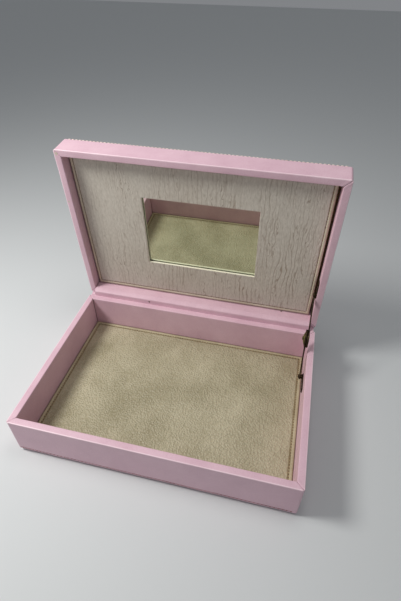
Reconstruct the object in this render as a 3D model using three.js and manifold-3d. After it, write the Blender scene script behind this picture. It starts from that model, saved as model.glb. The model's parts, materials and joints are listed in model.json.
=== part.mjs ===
// A jewellery box covered in leatherette, modelled with its lid held open by a folding stay.
// Millimetres. X runs along the width, Y towards the hinge, Z up; the origin is the middle of the underside.
import * as THREE from "three";
import { mergeVertices } from "three/addons/utils/BufferGeometryUtils.js";
import Module from "manifold-3d";

const wasm = await Module();
wasm.setup();

// Overall sizes
const WIDTH = 300;
const DEPTH = 204;
const TRAY_HEIGHT = 53;
const LID_HEIGHT = 29.5;
const OPEN_ANGLE = 86;
const RIM_GAP = 0.3;

// The hinge line, behind and a little below the tray's back rim
const HINGE_BEHIND = 3.2;
const HINGE_BELOW = 2.65;

// Walls: a board wrapped in leatherette, with a glue line between them
const COVER = 0.75;
const GLUE = 0.25;
const BOARD = 5.5;
const WALL = BOARD + 2 * (COVER + GLUE);
const MITRE_GAP = 0.15;
const OUTER_EDGE_RADIUS = 4.8;
const RIM_OUTER_RADIUS = 1.2;
const RIM_INNER_RADIUS = 1;
const TURN_IN = 14;
const EDGE_SEGMENTS = 5;

// Bottom of the tray, from the resting face upwards
const SHEET = 0.8;
const SHEET_INSET = 5;
const SHEET_GAP = 0.1;
const BASE_BOARD = 5;
const FLOOR_CARD = 1.6;
const FLOOR_PAD = 2.8;
const FLOOR_CLEARANCE = 0.35;

// Inside of the lid
const LID_BOARD = 4;
const PANEL_RECESS = 12;
const PANEL = 2.5;
const PANEL_GAP_LEFT = 1.3;
const PANEL_GAP_RIGHT = 3;
const PANEL_GAP_FRONT = 0.7;
const PANEL_GAP_BACK = 0.7;
const WINDOW_WIDTH = 132;
const WINDOW_DEPTH = 92.5;
const WINDOW_X = 1.5;
const WINDOW_Y = -2.2;
const MIRROR_GAP = 1;
const MIRROR = 2;
const MIRROR_MARGIN = 7;
const MIRROR_CARD = 1.2;
const BATTEN_WIDTH = 9;
const BATTEN_INSET = 4;

// Leatherette strips of the hinge
const STRIP = 0.7;
const STRIP_GAP = 0.2;
const INNER_STRIP_SIDE_GAP = 0.6;
const OUTER_STRIP_INSET = 2;
const INNER_STRIP_RISE = 6.6;
const INNER_STRIP_FOLD = 1.3;
const OUTER_STRIP_FOLD = 3;
const STRIP_CORNER_STEPS = 6;

// The stay on the right-hand wall
const STAY_PLATE = 1.2;
const STAY_PLATE_WIDTH = 8;
const STAY_PLATE_LENGTH = 25;
const STAY_PLATE_LIFT = 0.1;
const STAY_ARM = 1.4;
const STAY_ARM_WIDTH = 4.4;
const STAY_EYE_RADIUS = 3.6;
const STAY_LAYER_GAP = 0.4;
const STAY_BEND = 10;
const STAY_LOWER_SHARE = 0.47;
const STAY_LOWER_Y = 46.5;
const STAY_LOWER_Z = 30;
const STAY_UPPER_Y = 51.5;
const STAY_UPPER_RISE = 5;
const KNUCKLE_LENGTH = 21;
const KNUCKLE_WIDTH = 12.5;
const KNUCKLE_FRONT_DOME = 2.6;
const KNUCKLE_BACK_DOME = 1.1;
const PIN_RADIUS = 1.4;
const PIN_CLEARANCE = 0.08;
const PIN_HEAD_RADIUS = 2.6;
const PIN_HEAD = 1;
const SCREW_HEAD_RADIUS = 1.7;
const SCREW_HEAD = 0.5;
const SCREW_SINK = 0.65;
const SCREW_RADIUS = 0.9;
const SCREW_HOLE = 1.05;
const SCREW_LENGTH = 5;
const SCREW_FIRST = 8;
const SCREW_PITCH = 9;
const ROUND_SEGMENTS = 24;

// Heights and positions that follow from the sizes above
const HINGE_Y = DEPTH / 2 + HINGE_BEHIND;
const HINGE_Z = TRAY_HEIGHT - HINGE_BELOW;
const LID_RIM_Z = TRAY_HEIGHT + RIM_GAP;
const TURN_IN_Z = SHEET + SHEET_GAP;
const BASE_BOARD_Z = TURN_IN_Z + COVER + GLUE;
const WALL_BOARD_Z = BASE_BOARD_Z + BASE_BOARD + GLUE;
const FLOOR_CARD_Z = WALL_BOARD_Z;
const FLOOR_PAD_Z = FLOOR_CARD_Z + FLOOR_CARD + SHEET_GAP;
const LID_BOARD_RISE = LID_HEIGHT - TURN_IN_Z - COVER - GLUE - LID_BOARD;
const MIRROR_RISE = PANEL_RECESS + PANEL + MIRROR_GAP;
const CARD_RISE = MIRROR_RISE + MIRROR + GLUE;
const WALL_X = WIDTH / 2 - WALL;

const COLOURS = {
  pink: { color: 0xd9b0ba, roughness: 0.55, metalness: 0 },
  pinkDark: { color: 0xb98c99, roughness: 0.6, metalness: 0 },
  board: { color: 0xb59a72, roughness: 0.85, metalness: 0 },
  card: { color: 0x8f8370, roughness: 0.9, metalness: 0 },
  floor: { color: 0xb3a181, roughness: 0.6, metalness: 0 },
  panel: { color: 0xc9bda6, roughness: 0.5, metalness: 0 },
  mirror: { color: 0xdfe6e2, roughness: 0.03, metalness: 1 },
  brass: { color: 0x6d5a33, roughness: 0.45, metalness: 1 },
};

const root = new THREE.Group();
root.name = "jewelry_box";

// Everything in the lid is drawn closed, then turned about the hinge line to the open position.
const lidGroup = new THREE.Group();
lidGroup.name = "lid_group";
lidGroup.position.set(0, HINGE_Y, HINGE_Z);
lidGroup.rotation.x = -THREE.MathUtils.degToRad(OPEN_ANGLE);
root.add(lidGroup);

function addPart(name, geometry, look, parent = root) {
  const mesh = new THREE.Mesh(geometry, new THREE.MeshStandardMaterial(COLOURS[look]));
  mesh.name = name;
  parent.add(mesh);
  return mesh;
}

// Lid pieces are drawn in the frame of the closed box.
function addLidPart(name, geometry, look) {
  geometry.translate(0, -HINGE_Y, -HINGE_Z);
  return addPart(name, geometry, look, lidGroup);
}

// The place, in the open position, of a point (y, z) of the closed lid.
function openedPoint(y, z) {
  const angle = THREE.MathUtils.degToRad(OPEN_ANGLE);
  const dy = y - HINGE_Y;
  const dz = z - HINGE_Z;
  return new THREE.Vector2(
    HINGE_Y + dy * Math.cos(angle) + dz * Math.sin(angle),
    HINGE_Z - dy * Math.sin(angle) + dz * Math.cos(angle),
  );
}

function solidFrom(geometry) {
  const bare = geometry.clone();
  bare.deleteAttribute("normal");
  bare.deleteAttribute("uv");
  const merged = mergeVertices(bare, 1e-4);
  return new wasm.Manifold(
    new wasm.Mesh({
      numProp: 3,
      vertProperties: merged.attributes.position.array,
      triVerts: new Uint32Array(merged.index.array),
    }),
  );
}

function geometryFrom(solid) {
  const made = solid.getMesh();
  const geometry = new THREE.BufferGeometry();
  geometry.setAttribute("position", new THREE.BufferAttribute(new Float32Array(made.vertProperties), 3));
  geometry.setIndex(new THREE.BufferAttribute(new Uint32Array(made.triVerts), 1));
  geometry.computeVertexNormals();
  return geometry;
}

function joined(first, ...others) {
  let solid = solidFrom(first);
  for (const other of others) {
    solid = solid.add(solidFrom(other));
  }
  return geometryFrom(solid);
}

function cut(first, ...tools) {
  let solid = solidFrom(first);
  for (const tool of tools) {
    solid = solid.subtract(solidFrom(tool));
  }
  return geometryFrom(solid);
}

function box(xRange, yRange, zRange) {
  const geometry = new THREE.BoxGeometry(xRange[1] - xRange[0], yRange[1] - yRange[0], zRange[1] - zRange[0]);
  geometry.translate(
    (xRange[0] + xRange[1]) / 2,
    (yRange[0] + yRange[1]) / 2,
    (zRange[0] + zRange[1]) / 2,
  );
  return geometry;
}

// Points of a quarter turn from one direction to another, both given in degrees.
function arc(centre, radius, from, to, segments = EDGE_SEGMENTS) {
  const points = [];
  for (let i = 0; i <= segments; i += 1) {
    const angle = THREE.MathUtils.degToRad(from + ((to - from) * i) / segments);
    points.push([centre[0] + radius * Math.cos(angle), centre[1] + radius * Math.sin(angle)]);
  }
  return points;
}

// A stack of rectangles, each given as [inset from the full size, height], closed at both ends.
function stackedSlab(width, depth, levels) {
  const positions = [];
  const indices = [];
  for (const [inset, z] of levels) {
    const x = width / 2 - inset;
    const y = depth / 2 - inset;
    positions.push(-x, -y, z, x, -y, z, x, y, z, -x, y, z);
  }
  for (let level = 0; level < levels.length - 1; level += 1) {
    for (let side = 0; side < 4; side += 1) {
      const a = level * 4 + side;
      const b = level * 4 + ((side + 1) % 4);
      indices.push(a, b, b + 4, a, b + 4, a + 4);
    }
  }
  const top = (levels.length - 1) * 4;
  indices.push(0, 2, 1, 0, 3, 2);
  indices.push(top, top + 1, top + 2, top, top + 2, top + 3);
  const geometry = new THREE.BufferGeometry();
  geometry.setAttribute("position", new THREE.Float32BufferAttribute(positions, 3));
  geometry.setIndex(indices);
  geometry.computeVertexNormals();
  return geometry;
}

// A wall cover with mitred ends: the outline is [distance in from the outer face, height], anticlockwise,
// and each of its points stops that same distance short of the wall's full length.
function mitredWrap(outline, length) {
  const flat = outline.map((point) => new THREE.Vector2(point[0], point[1]));
  const triangles = THREE.ShapeUtils.triangulateShape(flat, []);
  const count = outline.length;
  const positions = [];
  for (const end of [-1, 1]) {
    for (const [inward, z] of outline) {
      positions.push(end * (length / 2 - inward - MITRE_GAP), inward, z);
    }
  }
  const indices = [];
  for (const [a, b, c] of triangles) {
    indices.push(a, c, b);
    indices.push(a + count, b + count, c + count);
  }
  for (let i = 0; i < count; i += 1) {
    const next = (i + 1) % count;
    indices.push(i, next, next + count, i, next + count, i + count);
  }
  const geometry = new THREE.BufferGeometry();
  geometry.setAttribute("position", new THREE.Float32BufferAttribute(positions, 3));
  geometry.setIndex(indices);
  geometry.computeVertexNormals();
  return geometry;
}

// Turns a piece drawn along the front wall (outer face at y = 0) to any of the four walls.
function placeOnWall(geometry, side) {
  if (side === "front") {
    geometry.translate(0, -DEPTH / 2, 0);
  }
  if (side === "back") {
    geometry.rotateZ(Math.PI);
    geometry.translate(0, DEPTH / 2, 0);
  }
  if (side === "left") {
    geometry.rotateZ(-Math.PI / 2);
    geometry.translate(-WIDTH / 2, 0, 0);
  }
  if (side === "right") {
    geometry.rotateZ(Math.PI / 2);
    geometry.translate(WIDTH / 2, 0, 0);
  }
  return geometry;
}

function wallLength(side) {
  return side === "front" || side === "back" ? WIDTH : DEPTH;
}

// Outline of a cover: up the outside from the turn-in, over the rim and down the inside to the inner end.
function coverOutline(turnInZ, rimZ, innerEndZ) {
  const rim = rimZ;
  const big = OUTER_EDGE_RADIUS;
  const outer = RIM_OUTER_RADIUS;
  const inner = RIM_INNER_RADIUS;
  const outside = [
    [TURN_IN, turnInZ],
    ...arc([big, turnInZ + big], big, 270, 180),
    ...arc([outer, rim - outer], outer, 180, 90),
    ...arc([WALL - inner, rim - inner], inner, 90, 0),
    [WALL, innerEndZ],
  ];
  const inside = [
    [WALL - COVER, innerEndZ],
    ...arc([WALL - inner, rim - inner], inner - COVER, 0, 90, 2),
    ...arc([outer, rim - outer], outer - COVER, 90, 180, 2),
    ...arc([big, turnInZ + big], big - COVER, 180, 270),
    [TURN_IN, turnInZ + COVER],
  ];
  return [...outside, ...inside].reverse();
}

// The same outline for the lid, whose rim points down: heights are mirrored about its middle.
function lidCoverOutline() {
  const mirrored = coverOutline(TURN_IN_Z, LID_HEIGHT, LID_HEIGHT - LID_BOARD_RISE + GLUE);
  return mirrored.map(([inward, z]) => [inward, LID_RIM_Z + LID_HEIGHT - z]).reverse();
}

function trayWallBoard(side) {
  const shell = COVER + GLUE;
  const isLong = side === "front" || side === "back";
  const half = isLong ? WIDTH / 2 - shell : DEPTH / 2 - shell - BOARD - GLUE;
  const board = box([-half, half], [shell, shell + BOARD], [WALL_BOARD_Z, TRAY_HEIGHT - shell]);
  return placeOnWall(board, side);
}

function lidWallBoard(side) {
  const shell = COVER + GLUE;
  const isLong = side === "front" || side === "back";
  const half = isLong ? WIDTH / 2 - shell : DEPTH / 2 - shell - BOARD - GLUE;
  const top = LID_RIM_Z + LID_BOARD_RISE - GLUE;
  const board = box([-half, half], [shell, shell + BOARD], [LID_RIM_Z + shell, top]);
  return placeOnWall(board, side);
}

// A board whose outer bottom edge follows the rounding of the covers outside it.
function roundedEdgeBoard(bottom, thickness) {
  const shell = COVER + GLUE;
  const radius = OUTER_EDGE_RADIUS - shell;
  const levels = arc([shell + radius, bottom + radius], radius, 270, 180);
  levels.push([shell, bottom + thickness]);
  return stackedSlab(WIDTH, DEPTH, levels);
}

function buildTray() {
  const sheetWidth = WIDTH - 2 * SHEET_INSET;
  const sheetDepth = DEPTH - 2 * SHEET_INSET;
  addPart("tray_base_sheet", stackedSlab(sheetWidth, sheetDepth, [[0, 0], [0, SHEET]]), "pinkDark");
  addPart("tray_base_board", roundedEdgeBoard(BASE_BOARD_Z, BASE_BOARD), "board");
  for (const side of ["front", "back", "left", "right"]) {
    const outline = coverOutline(TURN_IN_Z, TRAY_HEIGHT, WALL_BOARD_Z);
    addPart(`tray_${side}_wall_board`, trayWallBoard(side), "board");
    addPart(`tray_${side}_wall_cover`, placeOnWall(mitredWrap(outline, wallLength(side)), side), "pink");
  }
  const floorWidth = WIDTH - 2 * (WALL + FLOOR_CLEARANCE);
  const floorDepth = DEPTH - 2 * (WALL + FLOOR_CLEARANCE);
  const cardTop = FLOOR_CARD_Z + FLOOR_CARD;
  const padTop = FLOOR_PAD_Z + FLOOR_PAD;
  addPart("tray_floor_card", stackedSlab(floorWidth, floorDepth, [[1, FLOOR_CARD_Z], [1, cardTop]]), "card");
  const padEdge = [[0.6, FLOOR_PAD_Z], [0, FLOOR_PAD_Z + 0.6], [0, padTop - 0.9], [0.3, padTop - 0.3], [0.9, padTop]];
  addPart("tray_floor_pad", stackedSlab(floorWidth, floorDepth, padEdge), "floor");
}

// The top board of the lid is the same rounded board, turned over.
function lidTopBoard() {
  const board = roundedEdgeBoard(0, LID_BOARD);
  board.rotateX(Math.PI);
  board.translate(0, 0, LID_RIM_Z + LID_BOARD_RISE + LID_BOARD);
  return board;
}

function panelRanges() {
  return {
    x: [-WALL_X + PANEL_GAP_LEFT, WALL_X - PANEL_GAP_RIGHT],
    y: [-DEPTH / 2 + WALL + PANEL_GAP_FRONT, DEPTH / 2 - WALL - PANEL_GAP_BACK],
  };
}

function windowRanges(margin) {
  return {
    x: [WINDOW_X - WINDOW_WIDTH / 2 - margin, WINDOW_X + WINDOW_WIDTH / 2 + margin],
    y: [WINDOW_Y - WINDOW_DEPTH / 2 - margin, WINDOW_Y + WINDOW_DEPTH / 2 + margin],
  };
}

function buildLidInside() {
  const panel = panelRanges();
  const hole = windowRanges(0);
  const panelZ = LID_RIM_Z + PANEL_RECESS;
  const sheet = box(panel.x, panel.y, [panelZ, panelZ + PANEL]);
  const opening = box(hole.x, hole.y, [panelZ - 1, panelZ + PANEL + 1]);
  addLidPart("lid_panel", cut(sheet, opening), "panel");

  const glass = windowRanges(MIRROR_MARGIN);
  const mirrorZ = LID_RIM_Z + MIRROR_RISE;
  addLidPart("mirror_glass", box(glass.x, glass.y, [mirrorZ, mirrorZ + MIRROR]), "mirror");
  const card = windowRanges(MIRROR_MARGIN + 3);
  const cardZ = LID_RIM_Z + CARD_RISE;
  addLidPart("mirror_backing_card", box(card.x, card.y, [cardZ, cardZ + MIRROR_CARD]), "card");

  const low = panelZ + PANEL + GLUE;
  const high = LID_RIM_Z + LID_BOARD_RISE - GLUE;
  const x = [panel.x[0] + BATTEN_INSET, panel.x[1] - BATTEN_INSET];
  const y = [panel.y[0] + BATTEN_INSET, panel.y[1] - BATTEN_INSET];
  const sideY = [y[0] + BATTEN_WIDTH + GLUE, y[1] - BATTEN_WIDTH - GLUE];
  addLidPart("panel_batten_front", box(x, [y[0], y[0] + BATTEN_WIDTH], [low, high]), "board");
  addLidPart("panel_batten_back", box(x, [y[1] - BATTEN_WIDTH, y[1]], [low, high]), "board");
  addLidPart("panel_batten_left", box([x[0], x[0] + BATTEN_WIDTH], sideY, [low, high]), "board");
  addLidPart("panel_batten_right", box([x[1] - BATTEN_WIDTH, x[1]], sideY, [low, high]), "board");
}

function buildLid() {
  for (const side of ["front", "back", "left", "right"]) {
    const wrap = mitredWrap(lidCoverOutline(), wallLength(side));
    addLidPart(`lid_${side}_wall_board`, lidWallBoard(side), "board");
    addLidPart(`lid_${side}_wall_cover`, placeOnWall(wrap, side), "pink");
  }
  addLidPart("lid_top_board", lidTopBoard(), "board");
  const sheetZ = LID_RIM_Z + LID_HEIGHT - SHEET;
  const levels = [[0, sheetZ], [0, sheetZ + SHEET / 2], [SHEET / 2, sheetZ + SHEET]];
  const sheet = stackedSlab(WIDTH - 2 * SHEET_INSET, DEPTH - 2 * SHEET_INSET, levels);
  addLidPart("lid_top_sheet", sheet, "pink");
  buildLidInside();
}

// A strip of even thickness along a path of straight stretches in (y, z), with its corners softened.
function ribbon(path, soft, thickness, length) {
  const middle = [path[0]];
  for (let i = 1; i < path.length - 1; i += 1) {
    const corner = path[i];
    const before = corner.clone().add(path[i - 1].clone().sub(corner).setLength(soft));
    const after = corner.clone().add(path[i + 1].clone().sub(corner).setLength(soft));
    middle.push(...new THREE.QuadraticBezierCurve(before, corner, after).getPoints(STRIP_CORNER_STEPS));
  }
  middle.push(path[path.length - 1]);
  const one = [];
  const other = [];
  for (let i = 0; i < middle.length; i += 1) {
    const next = middle[Math.min(i + 1, middle.length - 1)];
    const along = next.clone().sub(middle[Math.max(i - 1, 0)]).normalize();
    const across = new THREE.Vector2(-along.y, along.x).multiplyScalar(thickness / 2);
    one.push(middle[i].clone().sub(across));
    other.push(middle[i].clone().add(across));
  }
  const outline = new THREE.Shape([...one, ...other.reverse()]);
  const geometry = new THREE.ExtrudeGeometry(outline, { depth: length, bevelEnabled: false, steps: 1 });
  geometry.rotateY(Math.PI / 2);
  geometry.rotateX(Math.PI / 2);
  geometry.translate(-length / 2, 0, 0);
  return geometry;
}

// From the tray's back face, up past the rim, folded back over the lid's rim to the lid's inner face.
function innerStripPath() {
  const offset = STRIP_GAP + STRIP / 2;
  const y = DEPTH / 2 + offset;
  const wallY = DEPTH / 2 - WALL - offset;
  return [
    new THREE.Vector2(y, TRAY_HEIGHT - 9),
    new THREE.Vector2(y, TRAY_HEIGHT + INNER_STRIP_RISE),
    openedPoint(wallY, LID_RIM_Z + 0.4),
    openedPoint(wallY, LID_RIM_Z + PANEL_RECESS - 0.6),
  ];
}

// From lower down the tray's back face, under the lid's rim and along the lid's back face.
function outerStripPath() {
  const offset = STRIP_GAP + STRIP / 2;
  const y = DEPTH / 2 + STRIP_GAP + STRIP + offset;
  const backY = DEPTH / 2 + offset;
  const underLid = openedPoint(backY, LID_RIM_Z - 4);
  return [
    new THREE.Vector2(y, TRAY_HEIGHT - 22),
    new THREE.Vector2(y, underLid.y),
    openedPoint(backY, LID_RIM_Z + 18),
  ];
}

function buildHinge() {
  const innerLength = WIDTH - 2 * (WALL + INNER_STRIP_SIDE_GAP);
  const outerLength = WIDTH - 2 * OUTER_STRIP_INSET;
  addPart("hinge_strip_inner", ribbon(innerStripPath(), INNER_STRIP_FOLD, STRIP, innerLength), "pink");
  addPart("hinge_strip_outer", ribbon(outerStripPath(), OUTER_STRIP_FOLD, STRIP, outerLength), "pink");
}

// A round piece along X between two distances, centred on (y, z).
function round(radius, xRange, y, z, segments = ROUND_SEGMENTS) {
  const geometry = new THREE.CylinderGeometry(radius, radius, xRange[1] - xRange[0], segments);
  geometry.rotateZ(Math.PI / 2);
  geometry.translate((xRange[0] + xRange[1]) / 2, y, z);
  return geometry;
}

// A round head that narrows towards low x, as a rivet or screw head does.
function domedHead(radius, height, x, y, z) {
  const profile = [
    new THREE.Vector2(0, 0),
    new THREE.Vector2(radius, 0),
    new THREE.Vector2(radius, height * 0.35),
    new THREE.Vector2(radius * 0.8, height * 0.75),
    new THREE.Vector2(radius * 0.45, height),
    new THREE.Vector2(0, height),
  ];
  const geometry = new THREE.LatheGeometry(profile, ROUND_SEGMENTS);
  geometry.rotateZ(Math.PI / 2);
  geometry.translate(x, y, z);
  return geometry;
}

// Distances from the wall of the stay's layers, as x positions that fall towards the middle of the box.
function stayLayers() {
  const plateBack = WALL_X - STAY_PLATE_LIFT;
  const plateFront = plateBack - STAY_PLATE;
  const upperBack = plateFront - STAY_LAYER_GAP;
  const upperFront = upperBack - STAY_ARM;
  const lowerBack = upperFront - STAY_LAYER_GAP;
  const lowerFront = lowerBack - STAY_ARM;
  return { plateBack, plateFront, upperBack, upperFront, lowerBack, lowerFront };
}

// Where the stay's joints stand with the lid open; the elbow lies towards the front of the box.
function stayPoints() {
  const lower = new THREE.Vector2(STAY_LOWER_Y, STAY_LOWER_Z);
  const upper = openedPoint(STAY_UPPER_Y, LID_RIM_Z + STAY_UPPER_RISE);
  const span = upper.clone().sub(lower);
  const share = STAY_LOWER_SHARE;
  const bend = Math.cos(THREE.MathUtils.degToRad(STAY_BEND));
  const scale = Math.sqrt(share ** 2 + (1 - share) ** 2 + 2 * share * (1 - share) * bend);
  const total = span.length() / scale;
  const lowerLength = total * share;
  const upperLength = total * (1 - share);
  const cosine = (lowerLength ** 2 + span.length() ** 2 - upperLength ** 2) / (2 * lowerLength * span.length());
  const direction = span.angle() + Math.acos(cosine);
  const knuckle = new THREE.Vector2(Math.cos(direction), Math.sin(direction))
    .multiplyScalar(lowerLength)
    .add(lower);
  return { lower, upper, knuckle };
}

// A flat bar along +Y from (0, 0), given its outline in (y, z), between two x positions.
function flatPiece(outline, xRange, holes = []) {
  const shape = new THREE.Shape(outline);
  for (const hole of holes) {
    const path = new THREE.Path();
    path.absarc(hole.x, hole.y, hole.r, 0, Math.PI * 2, true);
    shape.holes.push(path);
  }
  const depth = xRange[1] - xRange[0];
  const geometry = new THREE.ExtrudeGeometry(shape, {
    depth,
    bevelEnabled: false,
    steps: 1,
    curveSegments: ROUND_SEGMENTS,
  });
  geometry.rotateY(Math.PI / 2);
  geometry.rotateX(Math.PI / 2);
  geometry.translate(xRange[0], 0, 0);
  return geometry;
}

function circlePoints(y, z, radius, from, to, segments) {
  return arc([y, z], radius, from, to, segments).map((point) => new THREE.Vector2(point[0], point[1]));
}

// A straight arm from its pivot eye at the origin, along +Y, to where the knuckle plate takes over.
function armGeometry(length, xRange) {
  const half = STAY_ARM_WIDTH / 2;
  const neck = THREE.MathUtils.radToDeg(Math.asin(half / STAY_EYE_RADIUS));
  const outline = [
    ...circlePoints(0, 0, STAY_EYE_RADIUS, neck, 360 - neck, 18),
    new THREE.Vector2(length, -half),
    new THREE.Vector2(length, half),
  ];
  const hole = { x: 0, y: 0, r: PIN_RADIUS + PIN_CLEARANCE };
  return flatPiece(outline, xRange, [hole]);
}

// An oval plate with a raised centre, around the elbow of the stay. The dome rises towards low x
// when its height is negative and towards the wall when it is positive.
function knuckleGeometry(length, xRange, domeHeight) {
  const layers = [
    [1, xRange[0]],
    [1, xRange[1]],
  ];
  const dome = [
    [0.94, 0.3],
    [0.8, 0.62],
    [0.62, 0.88],
    [0.42, 1],
  ];
  for (const [share, rise] of dome) {
    if (domeHeight > 0) {
      layers.push([share, xRange[1] + domeHeight * rise]);
    } else {
      layers.unshift([share, xRange[0] + domeHeight * rise]);
    }
  }
  const sides = 28;
  const positions = [];
  for (const [share, x] of layers) {
    for (let i = 0; i < sides; i += 1) {
      const angle = (i / sides) * Math.PI * 2;
      const y = length + (Math.cos(angle) * share * KNUCKLE_LENGTH) / 2;
      positions.push(x, y, (Math.sin(angle) * share * KNUCKLE_WIDTH) / 2);
    }
  }
  const indices = [];
  for (let layer = 0; layer < layers.length - 1; layer += 1) {
    for (let i = 0; i < sides; i += 1) {
      const a = layer * sides + i;
      const b = layer * sides + ((i + 1) % sides);
      indices.push(a, b, b + sides, a, b + sides, a + sides);
    }
  }
  const top = (layers.length - 1) * sides;
  for (let i = 1; i < sides - 1; i += 1) {
    indices.push(0, i + 1, i);
    indices.push(top, top + i, top + i + 1);
  }
  const geometry = new THREE.BufferGeometry();
  geometry.setAttribute("position", new THREE.Float32BufferAttribute(positions, 3));
  geometry.setIndex(indices);
  geometry.computeVertexNormals();
  return geometry;
}

// Turns a piece drawn along +Y from the origin so that it starts at one point and aims at another.
function aim(geometry, from, to) {
  geometry.rotateX(to.clone().sub(from).angle());
  geometry.translate(0, from.x, from.y);
  return geometry;
}

// A fixing plate drawn along +Y: a pivot boss at the origin and two screw holes beyond it.
function stayPlate(layers, bossFront) {
  const half = STAY_PLATE_WIDTH / 2;
  const outline = [
    ...circlePoints(0, 0, half, 90, 270, 12),
    new THREE.Vector2(STAY_PLATE_LENGTH - half - 1, -half),
    new THREE.Vector2(STAY_PLATE_LENGTH - half, -half + 1),
    new THREE.Vector2(STAY_PLATE_LENGTH - half, half - 1),
    new THREE.Vector2(STAY_PLATE_LENGTH - half - 1, half),
  ];
  const holes = [0, 1].map((i) => ({ x: screwPlace(i), y: 0, r: SCREW_HOLE }));
  const plate = flatPiece(outline, [layers.plateFront, layers.plateBack], holes);
  const sinks = [0, 1].map((i) => {
    const depth = [layers.plateFront - 0.5, layers.plateFront + SCREW_SINK];
    return round(SCREW_HEAD_RADIUS + 0.15, depth, screwPlace(i), 0);
  });
  const boss = round(PIN_HEAD_RADIUS, [bossFront, layers.plateFront + 0.2], 0, 0);
  const pin = round(PIN_RADIUS, [bossFront - STAY_ARM - 2 * PIN_CLEARANCE, layers.plateFront + 0.2], 0, 0);
  return joined(cut(plate, ...sinks), boss, pin);
}

function screwPlace(index) {
  return SCREW_FIRST + index * SCREW_PITCH;
}

// A screw drawn at the origin, its head sunk in the fixing plate.
function screw(layers, index) {
  const seat = layers.plateFront + SCREW_SINK - 0.05;
  const head = domedHead(SCREW_HEAD_RADIUS, SCREW_HEAD, seat, screwPlace(index), 0);
  const shank = round(SCREW_RADIUS, [seat - 0.1, layers.plateFront + SCREW_LENGTH], screwPlace(index), 0, 16);
  return joined(head, shank);
}

function screwTunnel(layers, index) {
  const end = layers.plateFront + SCREW_LENGTH + 0.5;
  return round(SCREW_HOLE, [layers.plateFront - 1, end], screwPlace(index), 0, 16);
}

// The head that keeps an arm on its pin.
function pinHead(armFront, y, z) {
  return domedHead(PIN_HEAD_RADIUS, PIN_HEAD, armFront - 2 * PIN_CLEARANCE - 0.05, y, z);
}

// The fixing plates, their screws and the tunnels the screws need through cover and board.
function buildStay(trayCover, trayBoard, lidCover, lidBoard) {
  const layers = stayLayers();
  const points = stayPoints();

  const ahead = new THREE.Vector2(STAY_LOWER_Y - 1, STAY_LOWER_Z);
  const lowerBoss = layers.lowerBack + PIN_CLEARANCE;
  addPart("stay_lower_plate", aim(stayPlate(layers, lowerBoss), points.lower, ahead), "brass");
  addPart("stay_lower_pin_head", pinHead(layers.lowerFront, points.lower.x, points.lower.y), "brass");

  const closedUpper = new THREE.Vector2(STAY_UPPER_Y, LID_RIM_Z + STAY_UPPER_RISE);
  const forward = new THREE.Vector2(STAY_UPPER_Y - 1, closedUpper.y);
  const upperBoss = layers.upperBack + PIN_CLEARANCE;
  addLidPart("stay_upper_plate", aim(stayPlate(layers, upperBoss), closedUpper, forward), "brass");
  addLidPart("stay_upper_pin_head", pinHead(layers.upperFront, closedUpper.x, closedUpper.y), "brass");

  for (let i = 0; i < 2; i += 1) {
    const lowerScrew = aim(screw(layers, i), points.lower, ahead);
    addPart(`stay_lower_screw_${i + 1}`, lowerScrew, "brass");
    const upperScrew = aim(screw(layers, i), closedUpper, forward);
    addLidPart(`stay_upper_screw_${i + 1}`, upperScrew, "brass");
    const lowerTunnel = aim(screwTunnel(layers, i), points.lower, ahead);
    const upperTunnel = aim(screwTunnel(layers, i), closedUpper, forward);
    upperTunnel.translate(0, -HINGE_Y, -HINGE_Z);
    trayCover.geometry = cut(trayCover.geometry, lowerTunnel);
    trayBoard.geometry = cut(trayBoard.geometry, lowerTunnel);
    lidCover.geometry = cut(lidCover.geometry, upperTunnel);
    lidBoard.geometry = cut(lidBoard.geometry, upperTunnel);
  }

  const lowerLength = points.knuckle.distanceTo(points.lower);
  const lowerX = [layers.lowerFront, layers.lowerBack];
  const lowerArm = joined(
    armGeometry(lowerLength, lowerX),
    knuckleGeometry(lowerLength, lowerX, -KNUCKLE_FRONT_DOME),
  );
  addPart("stay_lower_arm", aim(lowerArm, points.lower, points.knuckle), "brass");

  const upperLength = points.knuckle.distanceTo(points.upper);
  const upperX = [layers.upperFront, layers.upperBack];
  const upperArm = joined(
    armGeometry(upperLength, upperX),
    knuckleGeometry(upperLength, upperX, KNUCKLE_BACK_DOME),
  );
  addPart("stay_upper_arm", aim(upperArm, points.upper, points.knuckle), "brass");

  const rivetX = layers.lowerFront - KNUCKLE_FRONT_DOME - 0.05;
  const rivet = domedHead(PIN_HEAD_RADIUS, PIN_HEAD, rivetX, points.knuckle.x, points.knuckle.y);
  addPart("stay_knuckle_rivet", rivet, "brass");
}

buildTray();
buildLid();
buildHinge();
buildStay(
  root.getObjectByName("tray_right_wall_cover"),
  root.getObjectByName("tray_right_wall_board"),
  root.getObjectByName("lid_right_wall_cover"),
  root.getObjectByName("lid_right_wall_board"),
);

export default root;
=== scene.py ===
"""A pink leatherette jewellery box with its lid open.

X is the width, Y points to the hinge and Z is up. The shapes are worked out in millimetres, which
mesh_object turns into metres; scuffs, lights and the camera are in metres.
"""
import json
import math
import random

import bmesh
import bpy
import numpy as np
from mathutils import Matrix, Vector, noise


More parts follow.
